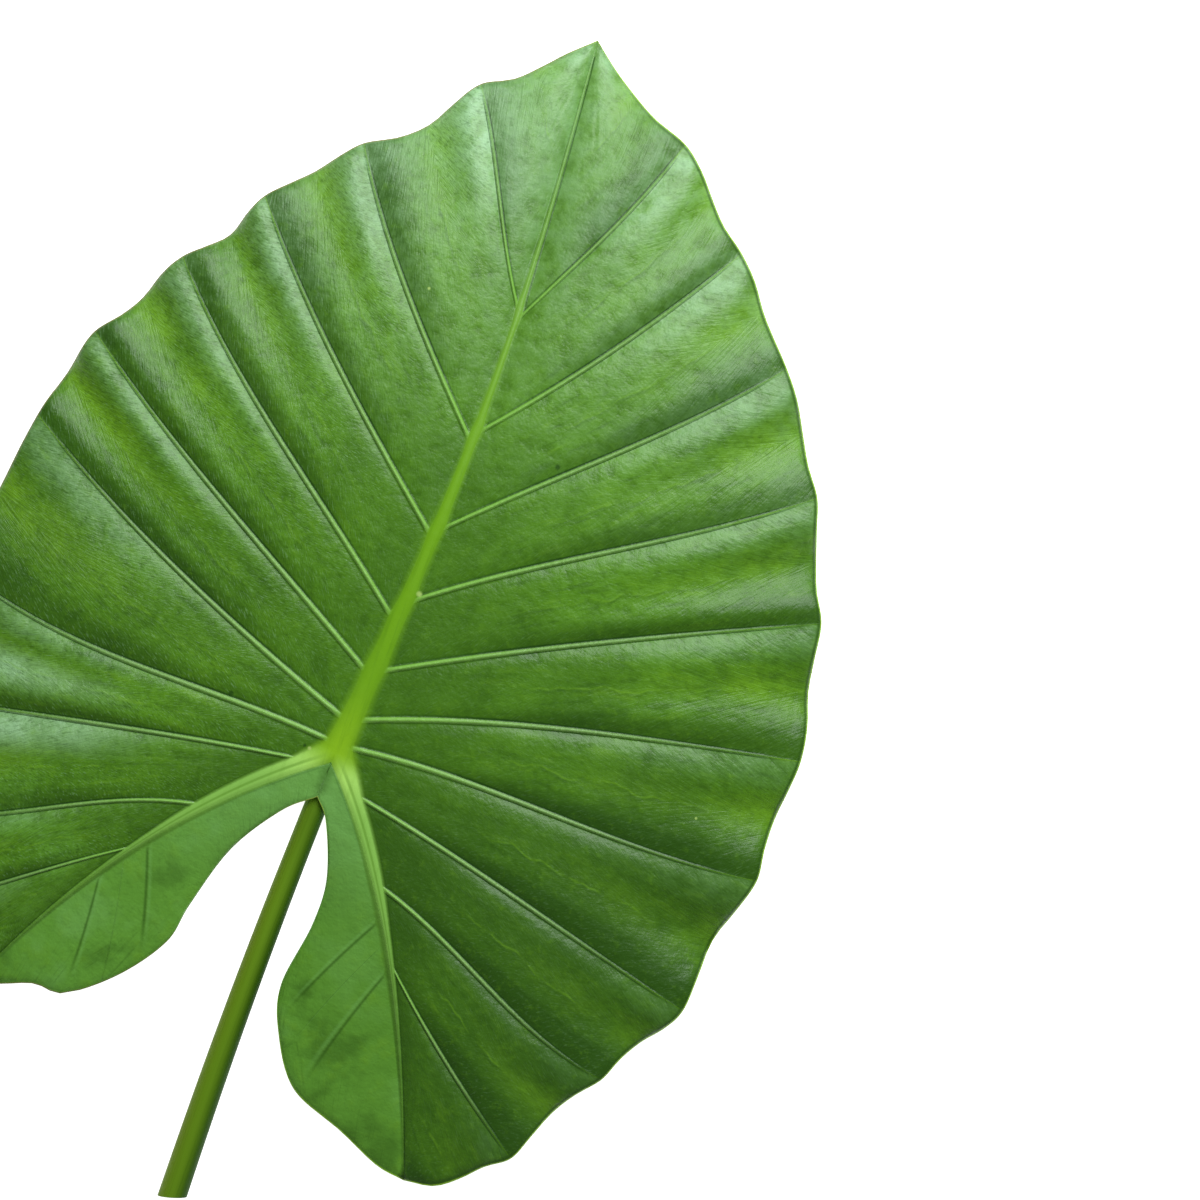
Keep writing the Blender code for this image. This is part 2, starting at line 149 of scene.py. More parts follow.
# Two swells of each panel towards the margin, from the tip to the lobe: height and crest of the one
# beyond the vein, then height, start and crest of the one before the next vein, the places counted
# as shares of the way between the veins
RIGHT_SWELLS = (
    (0.0, 0.30, 2.2, 0.55, 0.85), (2.0, 0.28, 2.8, 0.52, 0.84), (2.8, 0.38, 1.5, 0.60, 0.82),
    (1.9, 0.25, 0.9, 0.46, 0.66), (2.0, 0.25, 2.2, 0.58, 0.84), (2.2, 0.28, 1.0, 0.52, 0.74),
    (1.2, 0.30, 0.7, 0.40, 0.62), (0.4, 0.18, 0.3, 0.50, 0.70), (0.5, 0.18, 0.4, 0.40, 0.60),
    (0.5, 0.18, 0.4, 0.40, 0.60), (0.4, 0.20, 0.3, 0.50, 0.70),
)
LEFT_SWELLS = (
    (1.6, 0.40, 0.6, 0.60, 0.85), (1.8, 0.18, 2.6, 0.46, 0.80), (2.1, 0.25, 0.9, 0.50, 0.70),
    (1.2, 0.17, 2.4, 0.50, 0.78), (1.3, 0.16, 1.9, 0.58, 0.84), (1.8, 0.20, 0.9, 0.60, 0.80),
    (3.4, 0.46, 0.4, 0.60, 0.80), (0.4, 0.15, 3.2, 0.24, 0.72), (2.4, 0.30, 1.2, 0.44, 0.62),
    (2.2, 0.28, 0.6, 0.50, 0.70), (1.6, 0.28, 0.4, 0.50, 0.70),
)
# How far the margin draws in at the quarters of the first panel, and its height in the trough there
RIGHT_TIP_SAG = (2.8, 3.7, 3.4)
LEFT_TIP_SAG = (0.8, 2.6, 3.6)
TIP_TROUGH_HEIGHT = 2.0

# Basal rib as a curve of three points, which ends at the tip of the lobe
RIGHT_COSTA = ((0, 0), (62, -62), (116, -210))
LEFT_COSTA = ((0, 0), (-88, -62), (-146, -190))

# Inner margin of each lobe, from the bottom of the notch to the tip of the lobe, its height at
# those points, and the faint veins that cross to it: share of the basal rib, and place along the
# margin counted in points. Then their bow, the depth and half width of their creases, the share of
# the way to the notch that the joint takes, and the length that the shares of the rib stand for
RIGHT_INNER_MARGIN = (
    (-1, -26.5), (8, -38), (19, -68), (20, -95), (15.2, -131), (22.6, -156), (41.3, -183),
    (74, -196.3), (99, -207.3), (116, -210),
)
LEFT_INNER_MARGIN = (
    (-1, -26.5), (-17, -40.5), (-36, -70), (-47, -107), (-52, -130.8), (-70.5, -157), (-95.5, -177.3),
    (-113, -178), (-130, -184.5), (-146, -190),
)
INNER_HEIGHTS = (15, 12.5, 8, 5, 4, 4, 3.5, 3, 2, 1)
RIGHT_INNER_VEINS = ((0.47, 4.8), (0.585, 6.1))
LEFT_INNER_VEINS = ((0.51, 4.6), (0.64, 6.05))
INNER_BOW = 0.02
INNER_CREASE = 0.9
INNER_CREASE_HALF_WIDTH = 0.03
NOTCH_SHARE = 0.15
INNER_SPREAD = 190.0

# Panels are numbered for the materials: the outer ones from 20 on the right and from -20 on the
# left, the inner ones from 50 and -50. Here are the one at the tip with painted shade along a fold
# by its midrib and the one given a broad painted sheen, the place of the thin line between two
# veins, and the step of the noise between panels
OUTER_PANELS = 20
INNER_PANELS = 50
TIP_PANEL = 20
SHEEN_PANEL = -13
PANEL_MIDDLE = 0.52
PANEL_STEP = 7.3

# Mesh of the blade: lines along the rib, lines from its edge to the margin, the distances of the
# columns beside a vein and how many lie between them, and the columns of the first and last panel
RIB_LINES = (0.0, 0.35, 0.6, 0.8, 0.92, 1.0)
OUTER_LINE_COUNT = 70
INNER_LINE_COUNT = 20
EDGE_SHARES = (0.972, 0.982, 0.991, 1.0)
NEAR_DISTANCES = (0.5, 0.95, 1.4, 2.1, 3.2, 5.0, 7.5, 11.0)
TURN_DISTANCE = 7.5
NEAR_SHARE = 0.3
BETWEEN_COUNT = 7
TIP_COLUMN_COUNT = 12
TIP_COLUMN_SHARE = 0.8
LOBE_COLUMN_COUNT = 10
WELD = 0.02

# Stalk: its width at places from the cut to its head under the blade, the two sides of the slanted
# cut with its rim and depth, its place to +X and bow to -X over a length, and the share of its
# radius at which its middle lies
STALK_WIDTHS = ((-280, 16.0), (-26, 12.7), (0, 14.7), (5, 14.8))
STALK_HEAD_Y = 4.2
STALK_END_Y = -278.0
STALK_CUT = ((-7.5, -263.0), (6.5, -259.0))
CUT_RIM = 0.7
CUT_DEPTH = 0.3
STALK_X = 0.3
STALK_BOW = 2.7
STALK_BOW_LENGTH = 300.0
STALK_STAND = 0.85
STALK_SIDES = 64
STALK_RINGS = 120
SHARP_ANGLE = math.radians(50)

# View from straight above: the middle of the picture on the table, its width there, the turn that
# brings the leaf's tip to the upper right, and the height of the camera
VIEW_MIDDLE = (107.6, 128.5)
VIEW_WIDTH = 660.0
VIEW_TURN = math.radians(20.13)
VIEW_HEIGHT = 2400.0
LEAF_LEVEL = 12.0
SENSOR_WIDTH = 36.0

# Sizes of the patterns in the blade's skin: feathering and wrinkles, across the fine veins and
# along them, streaks along and across a panel, beads along a vein, and the thin line's waves
FEATHER_SIZE = (1.2, 5.0)
WRINKLE_SIZE = (4.0, 13.0)
FLOW_SIZE = (30.0, 6.5)
BEAD_LENGTH = 1.8
WAVE_LENGTH = 22.0
WAVE_WIDTH = 14.0

# Small marks on the blade, as place and radius: pale specks and dark scars
SPECKS = ((13.5, 97.5, 1.5), (-14.2, -2.9, 1.0), (-38.9, 256.4, 0.8), (198.4, 34.0, 0.7))
SCARS = ((-64.9, 10.8, 1.5), (60.9, 188.7, 1.5), (-17.3, -2.2, 0.9))

# Soft boxes: direction in the picture (to the right, up), angle from straight above, distance and
# size in metres, power and colour
SOFT_BOXES = (
    ("box_far", (0.40, 0.92), 40.0, 1.7, 1.3, 39.0, (0.93, 0.97, 1.0)),
)
WORLD_LIGHT = 0.2

# Table: its side in metres, its glow and colour, and how far it lies below the leaf
TABLE_SIZE = 12.0
TABLE_GLOW = 1.0
TABLE_WHITE = (0.9, 0.9, 0.9, 1)
TABLE_GAP = 0.5

# Colours of the blade, the stalk and their parts
DEEP_GREEN = (0.024, 0.088, 0.002, 1)
MID_GREEN = (0.056, 0.172, 0.004, 1)
LIVE_GREEN = (0.094, 0.262, 0.007, 1)
GLOW_GREEN = (0.150, 0.350, 0.010, 1)
# Pale blue-green of a painted sheen, where the waxy skin would reflect the soft box
SHEEN_GREEN = (0.290, 0.515, 0.250, 1)
VEIN_GREEN = (0.200, 0.385, 0.095, 1)
# Near-black green of painted shade in creases and grooves, also the colour of the small dark scars
SHADE_AND_SCAR_GREEN = (0.012, 0.058, 0.001, 1)
BASE_VEIN_GREEN = (0.200, 0.440, 0.065, 1)
RIB_GREEN = (0.156, 0.372, 0.004, 1)
# Painted shade on the ribs, towards their edges and in the basal rib's groove, mixed with darker fibres
RIB_SHADE = (0.090, 0.245, 0.004, 1)
COSTA_GREEN = (0.240, 0.510, 0.080, 1)
COSTA_PALE = (0.460, 0.800, 0.150, 1)
LOBE_GREEN = (0.128, 0.345, 0.036, 1)
JOINT_GREEN = (0.245, 0.490, 0.008, 1)
NOTCH_GREEN = (0.165, 0.400, 0.085, 1)
UNDER_GREEN = (0.170, 0.330, 0.095, 1)
EDGE_GREEN = (0.320, 0.560, 0.040, 1)
EDGE_BROWN = (0.200, 0.190, 0.045, 1)
SPECK_YELLOW = (0.420, 0.600, 0.150, 1)
STALK_GREEN = (0.125, 0.250, 0.008, 1)
STALK_OLIVE = (0.135, 0.205, 0.010, 1)
# Painted shade on the stalk's right side
STALK_SHADE = (0.026, 0.080, 0.001, 1)
CUT_GREEN = (0.320, 0.420, 0.140, 1)


def lerp(a, b, t):
    return a + (b - a) * t


def smooth_step(low, high, value):
    t = min(max((value - low) / (high - low), 0.0), 1.0)
    return t * t * (3 - 2 * t)


def bell(value, middle, width):
    return math.exp(-((value - middle) / width) ** 2)


def read(rows, at):
    """Value at a place, read straight between rows of (place, value)."""
    for (a, low), (b, high) in zip(rows, rows[1:]):
        if at <= b:
            return lerp(low, high, max(at - a, 0) / (b - a))
    return rows[-1][1]


def along(points, at):
    """Point on a smooth curve through the points, where at counts points from the first."""
    last = len(points) - 1
    index = min(int(at), last - 1)
    t = at - index
    p1, p2 = points[index], points[index + 1]
    p0 = points[index - 1] if index > 0 else p1 * 2 - p2
    p3 = points[index + 2] if index + 2 <= last else p2 * 2 - p1
    return (p1 * 2 + (p2 - p0) * t + (p0 * 2 - p1 * 5 + p2 * 4 - p3) * t ** 2
            + (p1 * 3 - p0 - p2 * 3 + p3) * t ** 3) / 2


def midrib_x(y):
    return MIDRIB_BOW * math.sin(math.pi * min(max(y / TIP_Y, 0), 1))


def midrib_height(y):
    q = y / TIP_Y
    return JOINT_HEIGHT + ARCH_HEIGHT * math.sin(math.pi * q) - (JOINT_HEIGHT - TIP_HEIGHT) * q ** 3


def midrib_half_width(y):
    return read(MIDRIB_WIDTHS, y) / 2


def midrib_keel(y):
    return KEEL_DEPTH * (1 - y / TIP_Y) ** 1.1 if y > KEEL_START_Y else 0.0


def costa_height(share):
    return lerp(JOINT_HEIGHT, TIP_HEIGHT, share ** 1.5)


def costa_half_width(share):
    return read(COSTA_WIDTHS, share) / 2


def costa_keel(share):
    return COSTA_KEEL * smooth_step(COSTA_KEEL_START, 3 * COSTA_KEEL_START, share) * (1 - share)


def line_shares(count):
    """Shares of the way from the rib to the margin, with close lines where the margin curls."""
    return [EDGE_SHARES[0] * (line + 1) / count for line in range(count)] + list(EDGE_SHARES[1:])


OUTER_LINES = line_shares(OUTER_LINE_COUNT)
INNER_LINES = line_shares(INNER_LINE_COUNT)


def panel_side(t):
    """From 1 just beyond a vein to -1 just before the next one, and 0 on a vein itself."""
    return math.cos(math.pi * t) if 0 < t < 1 else 0.0


class Spot:
    """A place on the blade: where it is, and what its materials read there.

    Away is its distance from the nearest vein, ridge the same in half widths of the vein's ridge,
    and side says on which side of the vein it lies. Run and reach are the distance and the share of
    the way from the rib, and rim is the distance from the margin. Middle is the distance from the
    thin line of its panel, and across its place on a rib. The others are 1 on what they name."""

    MARKS = {
        "away": 0.0, "ridge": 9.0, "side": 0.0, "run": 0.0, "reach": 0.0, "rib": 0.0, "rim": 99.0,
        "inner": 0.0, "joint": 0.0, "panel": 0.0, "middle": 30.0, "across": 2.0, "costa": 0.0,
    }

    def __init__(self, point, height, thickness, **marks):
        self.point = point
        self.height = height
        self.thickness = thickness
        self.marks = {**self.MARKS, **marks}


class Half:
    """One half of the blade. Its stations are the tip, the veins in turn and the lobe's tip."""

    def __init__(self, hand, midrib_veins, basal_veins, swells, tip_sag, costa, inner_margin, inner_veins):
        self.hand = hand
        self.swells = swells
        self.costa = [Vector(p) for p in costa]
        self.inner_margin = [Vector(p) for p in inner_margin]
        self.inner_veins = inner_veins
        bases, ends, bows, sags, end_heights, trough_heights = zip(*midrib_veins, *basal_veins)
        self.last_midrib = len(midrib_veins)
        self.last = len(bases) + 1
        self.bases = (TIP_Y, *bases, 1.0)
        self.ends = [Vector((0, TIP_Y)), *(Vector(end) for end in ends), self.costa[2]]
        self.bows = ((0, 0), *bows, (0, 0))
        self.end_heights = (TIP_HEIGHT, *end_heights, TIP_HEIGHT)
        self.trough_heights = (TIP_TROUGH_HEIGHT, *trough_heights)
        self.margin = self.ends[:1]
        for a, b, drawn_in in zip(self.ends, self.ends[1:], (tip_sag, *sags)):
            inward = Vector(((b - a).y, (a - b).x)).normalized() * hand
            self.margin += [lerp(a, b, (i + 1) / 4) + inward * sag for i, sag in enumerate(drawn_in)]
            self.margin.append(b)

    def costa_point(self, share, across):
        """Point on the basal rib: across is 1 at its outer edge and -1 at its inner edge."""
        a, b, c = self.costa
        run = ((b - a) * (1 - share) + (c - b) * share).normalized()
        side = Vector((-run.y, run.x)) * self.hand
        middle = a * (1 - share) ** 2 + b * 2 * share * (1 - share) + c * share ** 2
        return middle + side * costa_half_width(share) * across

    def base(self, station, across):
        """Place of a station on its rib. The middle of the midrib is shared by both halves."""
        if station <= self.last_midrib:
            return lerp(MIDRIB_STATIONS[station], self.bases[station], across)
        return self.bases[station]

    def midrib_point(self, y, across):
        """Point on the midrib, which widens a little where a vein joins it."""
        flare = max(bell(y, base, FLARE_LENGTH) for base in self.bases[1:self.last_midrib + 1])
        half_width = midrib_half_width(y) + MIDRIB_FLARE * flare * smooth_step(*FLARE_START, y)
        return Vector((midrib_x(y) + self.hand * half_width * across, y))

    def rib_point(self, station, across):
        base = self.base(station, across)
        if station <= self.last_midrib:
            return self.midrib_point(base, across)
        return self.costa_point(base, across)

    def rib_spacing(self, station):
        return (self.rib_point(station, 0) - self.rib_point(station + 1, 0)).length

    def turn(self):
        """Share of the panel beside the stalk at which the midrib gives way to the basal rib."""
        return column_share(("after", TURN_DISTANCE), self.rib_spacing(self.last_midrib))

    def costa_share(self, station, t):
        if station == self.last_midrib:
            turn = self.turn()
            return self.bases[station + 1] * max(t - turn, 0) / (1 - turn)
        return lerp(self.bases[station], self.bases[station + 1], t)

    def rib(self, station, t, across):
        """Spot between two veins on their rib."""
        if station < self.last_midrib:
            y = lerp(self.base(station, across), self.base(station + 1, across), t)
            point, half_width = self.midrib_point(y, across), midrib_half_width(y)
            shown = lerp(1.0, MIDRIB_END_SHOWN, smooth_step(*MIDRIB_FADE, y))
            return rib_spot(point, across, midrib_height(y), half_width, midrib_keel(y), 0.0, shown)
        share = self.costa_share(station, t)
        point = self.costa_point(share, across)
        if station == self.last_midrib:
            middle = self.costa_point(share, 0)
            if share == 0:
                middle = self.rib_point(station, 0) * (1 - t / self.turn())
            edge = lerp(self.rib_point(station, 1), self.rib_point(station + 1, 1), t)
            point = lerp(middle, edge, across)
        spot = costa_spot(point, across, share)
        if station == self.last_midrib:
            spot.height += (midrib_height(self.bases[station]) - JOINT_HEIGHT) * max(1 - t / self.turn(), 0)
        return spot

    def vein_point(self, station, s):
        """Point on a vein, s of the way from its rib to the margin."""
        start, end = self.rib_point(station, 1), self.ends[station]
        chord = end - start
        towards_tip = Vector((-chord.y, chord.x)).normalized() * self.hand
        low, high = self.bows[station]
        bow = s * (1 - s) * (9 * low - 4.5 * high + 13.5 * (high - low) * s)
        return start + chord * s + towards_tip * bow

    def vein_length(self, station):
        return (self.ends[station] - self.rib_point(station, 1)).length

    def vein_height(self, station, s):
        base = self.bases[station]
        start = midrib_height(base) if station <= self.last_midrib else costa_height(base)
        arch = VEIN_ARCH * 4 * s * (1 - s) * (start - TIP_HEIGHT) / JOINT_HEIGHT
        return lerp(start, self.end_heights[station], s ** 1.3) + arch

    def has_vein(self, station, t):
        """Whether the nearer side of a panel is a vein, not the midrib or the end of the lobe."""
        return 0 < station + round(t) < self.last

    def panel_number(self, station):
        return station + OUTER_PANELS * self.hand

    def panel_width(self, station, s):
        return (self.vein_point(station + 1, s) - self.vein_point(station, s)).length

    def panel(self, station, t, s):
        """Spot t of the way between two veins and s of the way to the margin."""
        straight = lerp(self.rib_point(station, 1), self.rib_point(station + 1, 1), t)
        at_rib = self.rib(station, t, 1).point - straight
        at_rim = along(self.margin, 4 * (station + t))
        at_rim -= lerp(self.ends[station], self.ends[station + 1], t)
        point = lerp(self.vein_point(station, s), self.vein_point(station + 1, s), t)
        point += at_rib * (1 - s) ** 2 + at_rim * s ** 2

        length = lerp(self.vein_length(station), self.vein_length(station + 1), t)
        away = min(t, 1 - t) * self.panel_width(station, s)
        run, rim = s * length, (1 - s) * length
        half_width = lerp(RIDGE_HALF_WIDTH, RIDGE_END_HALF_WIDTH, s)
        height = lerp(self.vein_height(station, s), self.vein_height(station + 1, s), t)
        height += QUILT_HEIGHT * (1 - (2 * t - 1) ** 4) * 4 * s * (1 - s)
        ends = lerp(self.end_heights[station], self.end_heights[station + 1], t)
        height -= (ends - self.trough_heights[station]) * math.sin(math.pi * t) ** 4 * s ** 6
        height += self.swell(station, t) * smooth_step(0.35, 0.8, s)
        height += self.unevenness(station, point, run, away, s, t)
        height -= CURL_HEIGHT * smooth_step(CURL_WIDTH, 0, rim)
        thickness = BLADE_THICKNESS
        ridge = Spot.MARKS["ridge"]
        if self.has_vein(station, t):
            ridge = away / half_width
            crest = max(1 - (away / half_width) ** 2, 0)
            channel = math.exp(-(2 * (away - CHANNEL_START) / CHANNEL_HALF_WIDTH) ** 2)
            height += RIDGE_HEIGHT * crest * (1 - s ** 3)
            height -= CHANNEL_DEPTH * channel * (1 - s ** 2) * lerp(0.35, 1.0, smooth_step(0.1, 0.5, s))
            thickness += (RIDGE_HEIGHT + RIB_BELOW * (1 - s)) * crest
        return Spot(
            point, height, thickness, away=away, ridge=ridge, side=panel_side(t), run=run, reach=s,
            rim=rim, panel=self.panel_number(station),
            middle=(t - PANEL_MIDDLE) * self.panel_width(station, s))

    def swell(self, station, t):
        """Height of the two swells of a panel."""
        near, near_crest, far, far_start, far_crest = self.swells[station]
        height = near * smooth_step(0, near_crest, t) * smooth_step(2.2 * near_crest, near_crest, t)
        return height + far * smooth_step(far_start, far_crest, t) * smooth_step(1, far_crest, t)

    def unevenness(self, station, point, run, away, s, t):
        """Wrinkles along the fine veins, deeper towards the margin, and broad unevenness."""
        lag = run - FINE_VEIN_SLANT * away - FINE_VEIN_BEND * away ** 2
        seed = station * PANEL_STEP * self.hand
        wrinkle = noise.noise(Vector((lag / WRINKLE_WIDTH, away / WRINKLE_LENGTH, seed)))
        broad = noise.noise(Vector((point.x, point.y, 0)) / UNEVEN_LENGTH)
        rise = math.sin(math.pi * t) ** 0.5 * smooth_step(0.0, 0.3, s)
        return rise * (WRINKLE_HEIGHT * wrinkle * lerp(0.3, 1.0, s ** 2) + UNEVEN_HEIGHT * broad * s)

    def columns(self):
        """Every column of the outer blade, as a station and the column's place beyond it."""
        near = [("after", distance) for distance in (0.0,) + NEAR_DISTANCES]
        far = [("before", distance) for distance in reversed(NEAR_DISTANCES)]
        between = [("between", (i + 1) / (BETWEEN_COUNT + 1)) for i in range(BETWEEN_COUNT)]
        tip = [("share", TIP_COLUMN_SHARE * i / TIP_COLUMN_COUNT) for i in range(TIP_COLUMN_COUNT)]
        lobe = [("beyond", (i + 1) / LOBE_COLUMN_COUNT) for i in range(LOBE_COLUMN_COUNT)]
        places = [tip + far] + [near + between + far] * (self.last - 2) + [near + lobe]
        return [(station, place) for station, panel in enumerate(places) for place in panel]

    def outer(self, station, place, line):
        """Spot of the outer blade where a column crosses a line."""
        if line >= len(RIB_LINES):
            s = OUTER_LINES[line - len(RIB_LINES)]
            return self.panel(station, column_share(place, self.panel_width(station, s)), s)
        spacing = self.rib_spacing(station)
        t = column_share(place, spacing)
        spot = self.rib(station, t, RIB_LINES[line])
        away = min(t, 1 - t) * spacing
        spot.marks.update(away=away, panel=self.panel_number(station))
        if RIB_LINES[line] > VEIN_ROOT and self.has_vein(station, t):
            spot.marks.update(ridge=away / RIDGE_HALF_WIDTH, side=panel_side(t))
        return spot

    def inner(self, station, place, line):
        """Spot of the inner blade, between the basal rib and the notch."""
        share = self.costa_share(station, column_share(place, self.rib_spacing(station)))
        across = RIB_LINES[min(line, len(RIB_LINES) - 1)]
        point = self.costa_point(share, -across)
        if share == 0:
            point = self.inner_margin[0] * NOTCH_SHARE * across
        if line < len(RIB_LINES):
            return costa_spot(point, across, share)
        s = INNER_LINES[line - len(RIB_LINES)]
        crossing = ((0, 0),) + self.inner_veins + ((1, len(self.inner_margin) - 1),)
        at = read(crossing, share)
        chord = along(self.inner_margin, at) - point
        bow = Vector((chord.y, -chord.x)) * self.hand * INNER_BOW * 4 * s * (1 - s) * min(at, 1)
        height = lerp(costa_height(share), read(tuple(enumerate(INNER_HEIGHTS)), at), s ** 1.3)
        place = point + chord * s + bow
        rim = (1 - s) * chord.length
        nearest = min((share - vein for vein, _ in self.inner_veins), key=abs)
        crease = bell(nearest, 0, INNER_CREASE_HALF_WIDTH) * smooth_step(0, 0.1, s)
        height -= INNER_CREASE * crease * (1 - s)
        broad = noise.noise(Vector((place.x, place.y, 0)) / UNEVEN_LENGTH)
        height += UNEVEN_HEIGHT * broad * math.sin(math.pi * s) * smooth_step(0, 0.2, share)
        height -= CURL_HEIGHT * smooth_step(CURL_WIDTH, 0, rim) * smooth_step(0.02, 0.2, share)
        return Spot(
            place, height, BLADE_THICKNESS, away=nearest * INNER_SPREAD, run=s * chord.length,
            reach=s, rim=rim, inner=1.0, panel=station + INNER_PANELS * self.hand)


def rib_spot(point, across, height, half_width, keel, groove, shown):
    """A spot of a rib, with its crown and its round keel. Shown is how far its colour stands out."""
    crown = RIB_CROWN * min(half_width / CROWN_HALF_WIDTH, 1) * (1 - across ** 2)
    crown -= groove * bell(across, 0, 0.3)
    thickness = BLADE_THICKNESS + crown + keel * math.sqrt(1 - across ** 2)
    joint = math.exp(-(point.length / JOINT_RADIUS) ** 2)
    rib = (1 - smooth_step(*RIB_COLOUR_END, across)) * shown
    return Spot(point, height + crown, thickness, away=half_width, rib=rib, joint=joint, across=across)


def costa_spot(point, across, share):
    half_width, keel = costa_half_width(share), costa_keel(share)
    groove = COSTA_GROOVE * smooth_step(0.0, 0.12, share) * (1 - share)
    shown = lerp(1.0, COSTA_END_SHOWN, smooth_step(*COSTA_FADE, share))
    spot = rib_spot(point, across, costa_height(share), half_width, keel, groove, shown)
    spot.marks["costa"] = smooth_step(0.0, 0.1, share)
    return spot


def column_share(place, width):
    """Share of the way between two veins at which a column lies, where they are width apart."""
    kind, value = place
    if kind == "share":
        return value
    if kind in ("between", "beyond"):
        first = column_share(("after", NEAR_DISTANCES[-1]), width)
        return lerp(first, 1 - first if kind == "between" else 1.0, value)
    share = min(value / max(width, WELD), NEAR_SHARE * value / NEAR_DISTANCES[-1])
    return share if kind == "after" else 1 - share


def add_grid(bm, columns, line_count, place):
    """Grid of faces with its vertices moved to the blade, which keep what the materials read."""
    last_column, last_line = len(columns) - 1, line_count - 1
    grid = bmesh.ops.create_grid(bm, x_segments=last_column, y_segments=last_line, size=1.0)
    layers = {name: bm.verts.layers.float[name] for name in (*Spot.MARKS, "thickness")}
    for vert in grid["verts"]:
        column = columns[round((vert.co.x + 1) / 2 * last_column)]
        line = round((vert.co.y + 1) / 2 * last_line)
        spot = place(*column, line)
        height = max(spot.height, spot.thickness)
        vert.co = Vector((spot.point.x, spot.point.y, height)) * MM
        vert[layers["thickness"]] = spot.thickness * MM
        for name, value in spot.marks.items():
            vert[layers[name]] = value


def finished(bm, name, material):
    """The object of a finished mesh, which rides on the leaf."""
    mesh = bpy.data.meshes.new(name)
    bm.to_mesh(mesh)
    bm.free()
    mesh.shade_smooth()
    mesh.materials.append(material)
    obj = bpy.data.objects.new(name, mesh)
    bpy.context.scene.collection.objects.link(obj)
    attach(obj, "root")
    return obj


def make_blade(halves, material):
    """The blade: an upper face of four grids, and the same faces again below it."""
    bm = bmesh.new()
    for name in (*Spot.MARKS, "thickness", "under"):
        bm.verts.layers.float.new(name)
    for half in halves:
        columns = half.columns()
        add_grid(bm, columns, len(RIB_LINES) + len(OUTER_LINES), half.outer)
        turn = columns.index((half.last_midrib, ("after", TURN_DISTANCE)))
        add_grid(bm, columns[turn:], len(RIB_LINES) + len(INNER_LINES), half.inner)
    bmesh.ops.remove_doubles(bm, verts=bm.verts, dist=WELD * MM)
    thickness_layer, under_layer = bm.verts.layers.float["thickness"], bm.verts.layers.float["under"]
    lower = bmesh.ops.extrude_face_region(bm, geom=bm.faces[:], use_keep_orig=True)
    for vert in lower["geom"]:
        if isinstance(vert, bmesh.types.BMVert):
            vert.co.z -= vert[thickness_layer]
            vert[under_layer] = 1.0
    bmesh.ops.recalc_face_normals(bm, faces=bm.faces)
    return finished(bm, "blade_surface", material)


def make_stalk(material):
    """The stalk: a tapered round rod, flat where it lies on the table and cut across at its end."""
    bm = bmesh.new()
    around = bm.verts.layers.float.new("around")
    cut = bm.verts.layers.float.new("cut")
    bmesh.ops.create_cone(bm, cap_ends=True, segments=STALK_SIDES, radius1=1.0, radius2=1.0, depth=2.0)
    sides = [edge for edge in bm.edges if abs(edge.verts[0].co.z - edge.verts[1].co.z) > 1]
    bmesh.ops.subdivide_edges(bm, edges=sides, cuts=STALK_RINGS)
    for vert in bm.verts:
        y = lerp(STALK_END_Y, STALK_HEAD_Y, (vert.co.z + 1) / 2)
        radius = read(STALK_WIDTHS, y) / 2
        x = STALK_X - STALK_BOW * math.sin(math.pi * max(-y, 0) / STALK_BOW_LENGTH)
        vert[around] = math.atan2(vert.co.y, vert.co.x)
        z = max(radius * (STALK_STAND + vert.co.y), 0)
        vert.co = Vector((x + radius * vert.co.x, y, z)) * MM
    a, b = Vector(STALK_CUT[0]).to_3d() * MM, Vector(STALK_CUT[1]).to_3d() * MM
    across = (b - a).normalized()
    bmesh.ops.bisect_plane(
        bm, geom=bm.verts[:] + bm.edges[:] + bm.faces[:], plane_co=a,
        plane_no=Vector((across.y, -across.x, 0)), clear_outer=True)
    rim = [edge for edge in bm.edges if edge.is_boundary]
    end = bmesh.ops.holes_fill(bm, edges=rim)
    bmesh.ops.inset_region(bm, faces=end["faces"], thickness=CUT_RIM * MM, depth=CUT_DEPTH * MM)
    for face in end["faces"]:
        for vert in face.verts:
            vert[cut] = 1.0
    bmesh.ops.recalc_face_normals(bm, faces=bm.faces)
    stalk = finished(bm, "stalk_surface", material)
    stalk.data.set_sharp_from_angle(angle=SHARP_ANGLE)
    return stalk


class Field:
    """A number that varies over a surface. Arithmetic on it adds Math nodes."""

    def __init__(self, finish, socket):
        self.finish = finish
        self.socket = socket

    def math(self, operation, *others):
        values = {index: value for index, value in enumerate((self,) + others)}
        node = self.finish.node("ShaderNodeMath", {"operation": operation}, values)
        return Field(self.finish, node.outputs[0])

    def __add__(self, other):
        return self.math("ADD", other)

    __radd__ = __add__

    def __mul__(self, other):
        return self.math("MULTIPLY", other)

    __rmul__ = __mul__

    def __sub__(self, other):
        return self.math("SUBTRACT", other)

    def __rsub__(self, other):
        return self * -1 + other

    def __truediv__(self, other):
        return self.math("DIVIDE", other)

    def __pow__(self, other):
        return self.math("POWER", other)

    def step(self, low, high):
        """0 below low and 1 above high, with a smooth rise between. High may be the lower one."""
        if low > high:
            return 1 - self.step(high, low)
        node = self.finish.node(
            "ShaderNodeMapRange", {"interpolation_type": "SMOOTHSTEP"},
            {"Value": self, "From Min": low, "From Max": high})
        return Field(self.finish, node.outputs["Result"])

    def bell(self, middle, width):
        """1 at the middle, falling to 0 on both sides of it."""
        return 1 - ((self - middle) / width).math("ABSOLUTE").step(0, 1)


